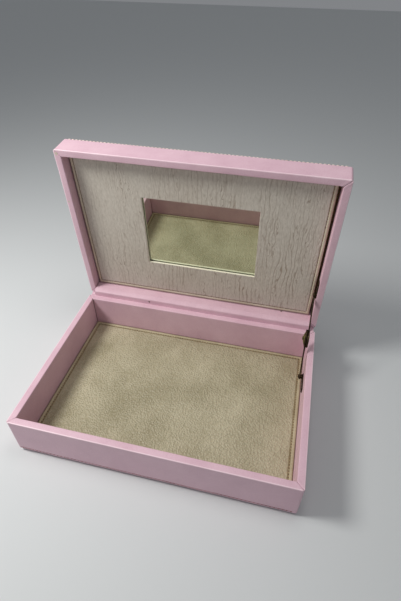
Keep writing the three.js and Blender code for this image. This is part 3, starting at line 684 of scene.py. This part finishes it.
def lid_panel():
    """The panel in the lid with its window: a rolled, sewn border and a bare cut edge at the window."""
    rolled = (0.0, 0.15, 0.4, 0.8, 1.3, 1.9, 2.5, 3.0, 3.4, 3.8, 4.2, 4.7, 5.4, 6.5)
    bare = (0.0, 0.12, 0.3, 0.7, 1.5, 3.0)

    def lines(outer, inner, stretch, step):
        values = [outer[0] + f * stretch for f in rolled] + [outer[1] - f * stretch for f in rolled]
        values += [inner[0] - f for f in bare] + [inner[1] + f for f in bare]
        gap = rolled[-1] * stretch
        for a, b in ((outer[0] + gap, inner[0] - bare[-1]), (inner[1] + bare[-1], outer[1] - gap), inner):
            values += list(np.linspace(a, b, max(3, int((b - a) / step) + 1)))[1:-1]
        return sorted(values)

    xs = lines(PANEL_X, WINDOW[:2], 1.0, 4.0)
    ys = lines(PANEL_Y, WINDOW[2:], PANEL_SEAM_Y / PANEL_SEAM, 4.0)

    def face_z(x, y):
        edge, window = panel_edge(x, y), panel_window(x, y)
        z = PANEL_Z + 1.0 * math.exp(-edge / 0.45) - 0.45 * math.exp(-(((edge - 1.9) / 1.1) ** 2))
        z += 0.4 * math.exp(-(((edge - PANEL_SEAM) / 0.5) ** 2)) + 0.2 * math.exp(-window / 0.2)
        return z + 0.05 * lump((x, y / 3, 0), 9.0, 8.0) + 0.12 * lump((x, y, 0), 40.0, 9.0)

    cols, per = len(xs), len(xs) * len(ys)
    verts = [(x, y, face_z(x, y)) for y in ys for x in xs]
    verts += [(x, y, PANEL_Z + PANEL_THICK) for y in ys for x in xs]
    used = set()
    for i in range(cols - 1):
        for j in range(len(ys) - 1):
            if panel_window((xs[i] + xs[i + 1]) / 2, (ys[j] + ys[j + 1]) / 2) > 0:
                used.add((i, j))
    faces, looks = [], []
    for i, j in sorted(used):
        a = j * cols + i
        middle = panel_edge((xs[i] + xs[i + 1]) / 2, (ys[j] + ys[j + 1]) / 2)
        faces.append((a, a + 1, a + cols + 1, a + cols))
        looks.append(1 if middle < PANEL_SEAM - 0.5 else 0)
        faces.append((a + per, a + cols + per, a + cols + 1 + per, a + 1 + per))
        looks.append(0)
        sides = ((-1, 0, a, a + cols), (1, 0, a + 1, a + cols + 1))
        sides += ((0, -1, a, a + 1), (0, 1, a + cols, a + cols + 1))
        for di, dj, p, q in sides:
            if (i + di, j + dj) not in used:
                faces.append((p, q, q + per, p + per))
                looks.append(1 if middle < PANEL_SEAM else 2)
    obj = mesh_object("lid_panel_leather", verts, faces, PANEL_LEATHER, lid=True, looks=looks)
    obj.data.materials.append(PANEL_BORDER)
    # The window's cut edge takes the near-white cream: pale backing brightened as a painted highlight.
    obj.data.materials.append(CUT_EDGE_AND_HIGHLIGHT)
    for polygon in obj.data.polygons:
        if polygon.material_index == 2:
            polygon.use_smooth = False
    return obj


panel = lid_panel()
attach(panel, "lid")
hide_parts("lid_panel")


# ---------------------------------------------------------------- hinge strips

def opened(y, z):
    """Where a point of the closed lid is when the lid is open, as (y, z)."""
    point = OPEN_LID @ Vector((0, y, z))
    return (point.y, point.z)


def folded(path, soft, steps=8):
    """A path of straight stretches with its corners turned into small bends."""
    points = [Vector(p) for p in path]
    out = [points[0]]
    for before, corner, after in zip(points, points[1:], points[2:]):
        a = corner + (before - corner).normalized() * soft
        b = corner + (after - corner).normalized() * soft
        for i in range(steps + 1):
            t = i / steps
            out.append(a * (1 - t) ** 2 + corner * 2 * t * (1 - t) + b * t * t)
    out.append(points[-1])
    return spaced([tuple(p) for p in out], 1.6)


def hinge_strip(name, path, length, wrinkle, seed):
    """A leatherette strip along X whose cross-section follows a path of (y, z)."""
    normals = normals_of(path)
    half = length / 2
    xs = along(half, (0.0, 0.4, 1.2, 3.0, 6.0), 90)
    rows = []
    count = len(path)
    for k in list(range(count)) + list(range(count - 1, -1, -1)):
        under = len(rows) >= count
        (y, z), (ny, nz) = path[k], normals[k]
        free = math.exp(-(((k / (count - 1) - 0.5) / 0.16) ** 2))
        row = []
        for x in xs:
            shift = (-0.5 if under else 0.5) * STRIP
            shift += free * wrinkle * (lump((x, k * 2.0, 0), 14.0, seed) + 0.6 * lump((x, k, 0), 5.0, seed))
            row.append((x, y + ny * shift, z + nz * shift))
        rows.append(row)
    columns = len(xs)
    verts = [v for row in rows for v in row]
    faces = []
    for i in range(len(rows)):
        j = (i + 1) % len(rows)
        for k in range(columns - 1):
            faces.append((i * columns + k, i * columns + k + 1, j * columns + k + 1, j * columns + k))
    for k in (0, columns - 1):
        for i in range(count - 1):
            a, b, c, d = i, i + 1, 2 * count - 2 - i, 2 * count - 1 - i
            faces.append((a * columns + k, b * columns + k, c * columns + k, d * columns + k))
    return mesh_object(name, verts, faces, PINK)


offset = STRIP_GAP + STRIP / 2
inner_y, wall_y = DEPTH / 2 + offset, DEPTH / 2 - WALL - offset
inner_path = folded(
    [(inner_y, TRAY_HEIGHT - 9), (inner_y, TRAY_HEIGHT + 6.6), opened(wall_y, LID_RIM + 0.4),
     opened(wall_y, LID_RIM + 11.4)],
    1.1,
)
inner_strip = hinge_strip("hinge_lining", inner_path, WIDTH - 2 * (WALL + 0.6), 0.12, 21.0)
outer_y, back_y = DEPTH / 2 + STRIP_GAP + STRIP + offset, DEPTH / 2 + offset
under_lid = opened(back_y, LID_RIM - 4)[1]
outer_strip_path = folded(
    [(outer_y, TRAY_HEIGHT - 22), (outer_y, under_lid), opened(back_y, LID_RIM + 18)], 3.0
)
outer_strip = hinge_strip("hinge_spine", outer_strip_path, WIDTH - 4, 0.15, 27.0)
for strip, cad, start, end in (
    (inner_strip, "hinge_strip_inner", (inner_y, TRAY_HEIGHT - 4.0), (inner_y + 8.57, TRAY_HEIGHT + 5.83)),
    (outer_strip, "hinge_strip_outer", (outer_y, TRAY_HEIGHT - 5.5), (outer_y + 7.0, TRAY_HEIGHT + 0.3)),
):
    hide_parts(cad)
    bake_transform(strip)


# ---------------------------------------------------------------- stitching

def stitches(name, runs, material, lid=False, pitch=4.0, length=2.9, radius=0.42, slant=0.1, seed=1):
    """Rows of sewn stitches with needle holes between them, drawn as flat dark patches of painted shade. A run is
    (start, end, surface normal).
    """
    rand = random.Random(seed)
    verts, faces, looks = [], [], []
    sides, rings = 6, 5

    def blob(centre, heading, side, normal, size, wide, high):
        base = len(verts)
        for ring in range(rings):
            t = ring / (rings - 1) * 2 - 1
            girth = (1 - abs(t) ** 3) ** 0.5 + 0.06
            middle = centre + heading * (t * size / 2) - normal * (high * 0.9 * t * t)
            for s in range(sides):
                angle = s / sides * 2 * math.pi
                out = side * (math.cos(angle) * wide * girth) + normal * (math.sin(angle) * high * girth)
                verts.append(middle + out)
        for ring in range(rings - 1):
            for s in range(sides):
                a, b = base + ring * sides + s, base + ring * sides + (s + 1) % sides
                faces.append((a, b, b + sides, a + sides))
        faces.append(tuple(base + s for s in range(sides)))
        faces.append(tuple(base + (rings - 1) * sides + s for s in reversed(range(sides))))

    for start, end, normal in runs:
        start, end, normal = Vector(start), Vector(end), Vector(normal).normalized()
        direction = (end - start).normalized()
        across = normal.cross(direction).normalized()
        total = (end - start).length
        count = max(1, int(total / pitch))
        for i in range(count):
            centre = start + direction * ((i + 0.5) * total / count + rand.uniform(-0.12, 0.12))
            heading = (direction + across * (slant + rand.uniform(-0.05, 0.05))).normalized()
            side = normal.cross(heading).normalized()
            first = len(faces)
            blob(centre + normal * radius * 0.4, heading, side, normal, length * rand.uniform(0.93, 1.05),
                 radius, radius * 0.8)
            looks += [0] * (len(faces) - first)
            first = len(faces)
            # A flat dark patch at each needle hole: painted shade in the hole.
            blob(start + direction * (i * total / count), direction, across, normal, 1.2, 0.42, 0.14)
            looks += [1] * (len(faces) - first)
    obj = mesh_object(name, verts, faces, material, lid=lid, looks=looks)
    obj.data.materials.append(NEEDLE_HOLE_SHADE)
    return obj


def loop_runs(half_x, half_y, z, tilt, short):
    """Four straight runs round a rectangle; tilt gives each normal its outward and upward parts."""
    outward, up = tilt
    return [
        ((-half_x + short, -half_y, z), (half_x - short, -half_y, z), (0, -outward, up)),
        ((half_x, -half_y + short, z), (half_x, half_y - short, z), (outward, 0, up)),
        ((half_x - short, half_y, z), (-half_x + short, half_y, z), (0, outward, up)),
        ((-half_x, half_y - short, z), (-half_x, -half_y + short, z), (-outward, 0, up)),
    ]


for seam_name, is_lid, colour in (
    ("tray_edge_stitching", False, EDGE_THREAD),
    ("lid_edge_stitching", True, CREAM_THREAD),
):
    seam_in, seam_z, tilt_out, tilt_up = seam_point(is_lid)
    seam_in += STITCH_SINK
    edge_runs = loop_runs(WIDTH / 2 - seam_in, DEPTH / 2 - seam_in, seam_z, (tilt_out, tilt_up), 4.0)
    seam = stitches(seam_name, edge_runs, colour, lid=is_lid, seed=3 + is_lid)
    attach(seam, "lid" if is_lid else "tray")
floor_runs = loop_runs(FLOOR_X - FLOOR_SEAM, FLOOR_Y - FLOOR_SEAM, FLOOR_TOP - 0.35, (0.0, 1.0), 1.5)
floor_seam = stitches(
    "floor_stitching", floor_runs, FLOOR_THREAD, pitch=3.4, length=2.6, radius=0.34, seed=5
)
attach(floor_seam, "tray")
seam_x = (PANEL_X[0] + PANEL_SEAM, PANEL_X[1] - PANEL_SEAM)
seam_y = (PANEL_Y[0] + PANEL_SEAM_Y, PANEL_Y[1] - PANEL_SEAM_Y)
seam_z = PANEL_Z + 0.25
panel_runs = [((x, seam_y[0], seam_z), (x, seam_y[1], seam_z), (0, 0, -1)) for x in seam_x]
panel_runs += [((seam_x[0], y, seam_z), (seam_x[1], y, seam_z), (0, 0, -1)) for y in seam_y]
panel_seam = stitches(
    "panel_stitching", panel_runs, TAN_THREAD, lid=True, pitch=3.4, length=2.8, radius=0.36, seed=6
)
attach(panel_seam, "lid")


# ---------------------------------------------------------------- the stay

ARM_HALF, EYE_RADIUS, ARM_THICK = 2.2, 3.6, 1.4
OVAL_LONG, OVAL_WIDE, OVAL_SIDES, OVAL_BEADS, OVAL_FLUTES = 10.5, 6.25, 156, 26, 18
PIN_HEAD_RADIUS, STAY_LAYER_GAP, PIN_CLEARANCE = 2.6, 0.4, 0.08
PLATE_HALF, PLATE_END, PLATE_THICK = 4.0, 21.0, 1.2
SCREW_RADIUS, SCREW_SINK = 1.7, 0.65
PLATE_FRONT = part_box("stay_lower_plate")[1][0] / MM - PLATE_THICK


def centre_of(name):
    """The middle of a CAD node, in millimetres."""
    lo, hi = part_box(name)
    return Vector([(a + b) / 2 / MM for a, b in zip(lo, hi)])


def edge_drop(edge, radius):
    """How far a rounded edge falls back at a distance from the outline."""
    if edge >= radius:
        return 0.0
    return radius - math.sqrt(max(0.0, radius * radius - (radius - edge) ** 2))


def joined(parts):
    """Several closed shells as one list of vertices, faces and looks."""
    verts, faces, looks = [], [], []
    for part_verts, part_faces, part_looks in parts:
        base = len(verts)
        verts += part_verts
        faces += [tuple(base + i for i in face) for face in part_faces]
        looks += part_looks
    return verts, faces, looks


def bar(place, stations, half_width, front, back):
    """A flat shell along a line: its half width, front and back are functions of the place on it."""
    shares = [math.sin(math.pi / 2 * u) for u in np.linspace(-1, 1, 25)]
    verts, cols, rows = [], len(shares), len(stations)
    for depth in (front, back):
        for s in stations:
            width = max(half_width(s), 1e-4)
            for u in shares:
                verts.append(place(s, u * width, depth(s, u * width)))
    faces, per = [], cols * rows
    for layer in (0, 1):
        for j in range(rows - 1):
            for i in range(cols - 1):
                a = layer * per + j * cols + i
                faces.append((a, a + 1, a + cols + 1, a + cols))
    for i in range(cols - 1):
        for a in (i, (rows - 1) * cols + i):
            faces.append((a, a + 1, a + 1 + per, a + per))
    for j in range(rows - 1):
        for a in (j * cols, j * cols + cols - 1):
            faces.append((a, a + cols, a + cols + per, a + per))
    return verts, faces, [0] * len(faces)


def disc(place, centre, long, wide, shares, sides, front, back, bright=0.0):
    """A round or oval shell; its front and back are functions of the share of the radius and the angle.

    The front has the second material out to the share called bright.
    """
    verts, faces, looks = [], [], []
    per = len(shares) * sides
    for depth in (front, back):
        for share in shares:
            for k in range(sides):
                angle = k / sides * 2 * math.pi
                s, t = centre + long * share * math.cos(angle), wide * share * math.sin(angle)
                verts.append(place(s, t, depth(share, angle)))
    for layer in (0, 1):
        for ring in range(len(shares) - 1):
            for k in range(sides):
                a, b = layer * per + ring * sides + k, layer * per + ring * sides + (k + 1) % sides
                faces.append((a, b, b + sides, a + sides))
                looks.append(1 if layer == 0 and shares[ring] < bright else 0)
    rim = (len(shares) - 1) * sides
    for k in range(sides):
        a, b = rim + k, rim + (k + 1) % sides
        faces.append((a, b, b + per, a + per))
        looks.append(0)
    return verts, faces, looks


def stay_arm(name, replaced, pin, knuckle, x_front, dome, body):
    """One arm of the stay with its oval plate: a beaded rim, a groove and a fluted dome.

    The dome is its height, and it stands towards low X where that is negative.
    """
    reach = Vector((0, knuckle.y - pin.y, knuckle.z - pin.z))
    length, direction = reach.length, reach.normalized()
    across = Vector((0, -direction.z, direction.y))
    away = -1.0 if dome < 0 else 1.0
    flat_x = x_front if dome < 0 else x_front + ARM_THICK
    other_x = x_front + ARM_THICK if dome < 0 else x_front
    height = abs(dome)

    def place(s, t, x):
        at = direction * s + across * t
        return (x, pin.y + at.y, pin.z + at.z)

    def half_width(s):
        neck = math.sqrt(EYE_RADIUS ** 2 - ARM_HALF ** 2)
        return math.sqrt(max(0.0, EYE_RADIUS ** 2 - s * s)) if s < neck else ARM_HALF

    def edge_of(s, t):
        return EYE_RADIUS - math.hypot(s, t) if s < 2.8 else ARM_HALF - abs(t)

    def relief(share, angle):
        bead = (0.5 + 0.5 * math.cos(OVAL_BEADS * angle)) * math.exp(-(((share - 0.9) / 0.055) ** 2))
        rise = 0.34 + 0.4 * bead - edge_drop((1 - share) * OVAL_WIDE, 0.34)
        if share < 0.8:
            swell = 1 - (share / 0.8) ** 2
            flute = 0.16 * math.cos(OVAL_FLUTES * angle) * math.sin(math.pi * min(1.0, share / 0.8)) ** 2
            rise = 0.12 + (height - 0.12) * swell ** 0.62 + flute * min(1.0, height)
        return flat_x + away * rise

    stations = [-EYE_RADIUS * math.cos(math.pi / 2 * i / 10) for i in range(11)]
    stations += list(np.linspace(0.4, 2.8, 7)) + list(np.linspace(4.0, length - 7.0, 22))
    shares = (0.0, 0.12, 0.24, 0.36, 0.48, 0.58, 0.66, 0.72, 0.76)
    shares += (0.8, 0.84, 0.87, 0.9, 0.93, 0.96, 0.985, 1.0)
    parts = [
        bar(
            place, stations, half_width,
            lambda s, t: x_front + edge_drop(edge_of(s, t), 0.35) + 0.04 * lump((s, t, 0), 6.0, length),
            lambda s, t: x_front + ARM_THICK - edge_drop(edge_of(s, t), 0.35),
        ),
        disc(
            place, length, OVAL_LONG, OVAL_WIDE, shares, OVAL_SIDES, relief,
            lambda share, angle: other_x - away * edge_drop((1 - share) * OVAL_WIDE, 0.34), bright=0.72,
        ),
    ]
    verts, faces, looks = joined(parts)
    obj = mesh_object(name, verts, faces, BRONZE, looks=looks)
    obj.data.materials.append(BRASS)
    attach(obj, body)
    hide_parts(replaced)


def fixing_plate(name, replaced, pin, screws, boss_x, body):
    """A fixing plate with softened edges, two countersinks and the round boss of its pin."""
    direction = Vector((0, screws[1].y - pin.y, screws[1].z - pin.z)).normalized()
    across = Vector((0, -direction.z, direction.y))
    places = [math.hypot(s.y - pin.y, s.z - pin.z) for s in screws]

    def place(s, t, x):
        at = direction * s + across * t
        return (x, pin.y + at.y, pin.z + at.z)

    def half_width(s):
        if s < 0:
            return math.sqrt(max(0.0, PLATE_HALF ** 2 - s * s))
        return PLATE_HALF - max(0.0, s - (PLATE_END - 1.0))

    def front(s, t):
        edge = PLATE_HALF - math.hypot(s, t) if s < 0 else min(PLATE_HALF - abs(t), PLATE_END - s)
        near = min(math.hypot(s - p, t) for p in places)
        sink = SCREW_SINK * min(1.0, max(0.0, (2.15 - near) / 0.4))
        return PLATE_FRONT + edge_drop(edge, 0.4) + sink + 0.03 * lump((s, t, 0), 5.0, boss_x)

    stations = [-PLATE_HALF * math.cos(math.pi / 2 * i / 10) for i in range(11)]
    stations += list(np.linspace(0.4, PLATE_END - 0.5, 52)) + [PLATE_END - 0.25, PLATE_END - 0.1, PLATE_END]
    parts = [
        bar(place, stations, half_width, front, lambda s, t: PLATE_FRONT + PLATE_THICK),
        disc(
            place, 0.0, PIN_HEAD_RADIUS, PIN_HEAD_RADIUS, (0.0, 0.5, 0.86, 0.94, 1.0), 36,
            lambda share, angle: boss_x + edge_drop((1 - share) * PIN_HEAD_RADIUS, 0.2),
            lambda share, angle: PLATE_FRONT + 0.3,
        ),
    ]
    verts, faces, looks = joined(parts)
    obj = mesh_object(name, verts, faces, BRONZE, looks=looks)
    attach(obj, body)
    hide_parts(replaced)


def slotted_head(name, centre, angle, replaced, body):
    """A small screw with a cut slot, sunk in a fixing plate and facing low X."""
    height, slot_half, slot_deep = 0.5, 0.26, 0.32
    seat = PLATE_FRONT + SCREW_SINK

    def place(s, t, x):
        return (x, centre.y + s, centre.z + t)

    def front(share, turn):
        y, z = SCREW_RADIUS * share * math.cos(turn), SCREW_RADIUS * share * math.sin(turn)
        lift = height * math.sqrt(max(0.0, 1 - share ** 2)) * 0.9 + 0.06
        if abs(y * math.sin(angle) - z * math.cos(angle)) < slot_half:
            lift = max(0.06, lift - slot_deep)
        return seat - lift

    shares = [i / 12 for i in range(13)]
    verts, faces, looks = disc(
        place, 0.0, SCREW_RADIUS, SCREW_RADIUS, shares, 40, front, lambda share, turn: seat + 0.3
    )
    obj = mesh_object(name, verts, faces, BRASS, looks=looks)
    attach(obj, body)
    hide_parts(replaced)


rivet = centre_of("stay_knuckle_rivet")
UPPER_FRONT = PLATE_FRONT - STAY_LAYER_GAP - ARM_THICK
LOWER_FRONT = UPPER_FRONT - STAY_LAYER_GAP - ARM_THICK
for which, arm_x, dome_height, plate_body in (
    ("lower", LOWER_FRONT, -2.6, "tray"), ("upper", UPPER_FRONT, 1.1, "lid"),
):
    pivot = centre_of(f"stay_{which}_pin_head")
    stay_arm(
        f"stay_{which}_beaded_arm", f"stay_{which}_arm", pivot, rivet, arm_x, dome_height, f"stay_{which}"
    )
    screws = [centre_of(f"stay_{which}_screw_{i}") for i in (1, 2)]
    boss_front = arm_x + ARM_THICK + PIN_CLEARANCE
    fixing_plate(
        f"stay_{which}_worn_plate", f"stay_{which}_plate", pivot, screws, boss_front, plate_body
    )
    for i, middle in enumerate(screws, 1):
        turn = 0.6 + 1.1 * i + (0.5 if which == "upper" else 0.0)
        slotted_head(f"stay_{which}_screw_{i}_slotted", middle, turn, f"stay_{which}_screw_{i}", plate_body)


# ---------------------------------------------------------------- materials of the CAD nodes that stay

def repaint(names, material):
    """Gives CAD nodes one material in all their slots."""
    for name in names:
        obj = frame["nodes"][name]
        for index in range(len(obj.material_slots)):
            obj.material_slots[index].material = material


ALL = list(frame["nodes"])
repaint([n for n in ALL if n.endswith("_board") or "batten" in n], BOARD)
repaint([n for n in ALL if n.endswith("_card")], CARD)
repaint([n for n in ALL if n.startswith("stay_")], BRONZE)
repaint(["stay_knuckle_rivet"], BRASS)
repaint(["mirror_glass"], MIRROR)


# ---------------------------------------------------------------- stage, light and camera

def stage_floor():
    bpy.ops.mesh.primitive_plane_add(size=6.0, location=(0, 0, -0.0004))
    floor = bpy.context.object
    floor.name = "studio_floor"
    material, tree, shader = new_material("pale_floor")
    shader.inputs["Base Color"].default_value = (*linear(216, 219, 219), 1.0)
    shader.inputs["Roughness"].default_value = 0.9
    floor.data.materials.append(material)


def area_light(name, position, target, size, power, colour):
    data = bpy.data.lights.new(name, "AREA")
    data.shape = "DISK"
    data.size = size
    data.energy = power
    data.color = colour
    lamp = bpy.data.objects.new(name, data)
    lamp.location = position
    lamp.rotation_euler = (Vector(target) - Vector(position)).to_track_quat("-Z", "Y").to_euler()
    bpy.context.scene.collection.objects.link(lamp)


def camera():
    """The photograph's camera: its place and directions follow from the corners of the box."""
    data = bpy.data.cameras.new("camera")
    data.sensor_fit = "AUTO"
    data.sensor_width = 36.0
    data.lens = 25.90
    data.clip_start = 0.01
    obj = bpy.data.objects.new("camera", data)
    forward = Vector((-0.17699, 0.72445, -0.66622))
    right = Vector((0.97178, 0.23586, -0.00168))
    up = Vector((-0.15592, 0.64772, 0.74575))
    turn = Matrix((right, up, -forward)).transposed().to_4x4()
    obj.matrix_world = Matrix.Translation((0.10099, -0.29326, 0.43733)) @ turn
    bpy.context.scene.collection.objects.link(obj)
    bpy.context.scene.camera = obj


stage_floor()
camera()
area_light("key", (-0.48, -0.15, 0.66), (-0.02, 0.02, 0.03), 0.24, 4.35, (1.0, 0.99, 0.97))
area_light("overhead", (0.1, 0.05, 0.9), (0.0, 0.03, 0.03), 0.3, 1.1, (1.0, 0.98, 0.96))
world = bpy.data.worlds.new("studio")
world.use_nodes = True
world.node_tree.nodes["Background"].inputs[0].default_value = (0.92, 0.95, 1.0, 1.0)
world.node_tree.nodes["Background"].inputs[1].default_value = 0.24
bpy.context.scene.world = world
bpy.context.scene.view_settings.view_transform = "Standard"
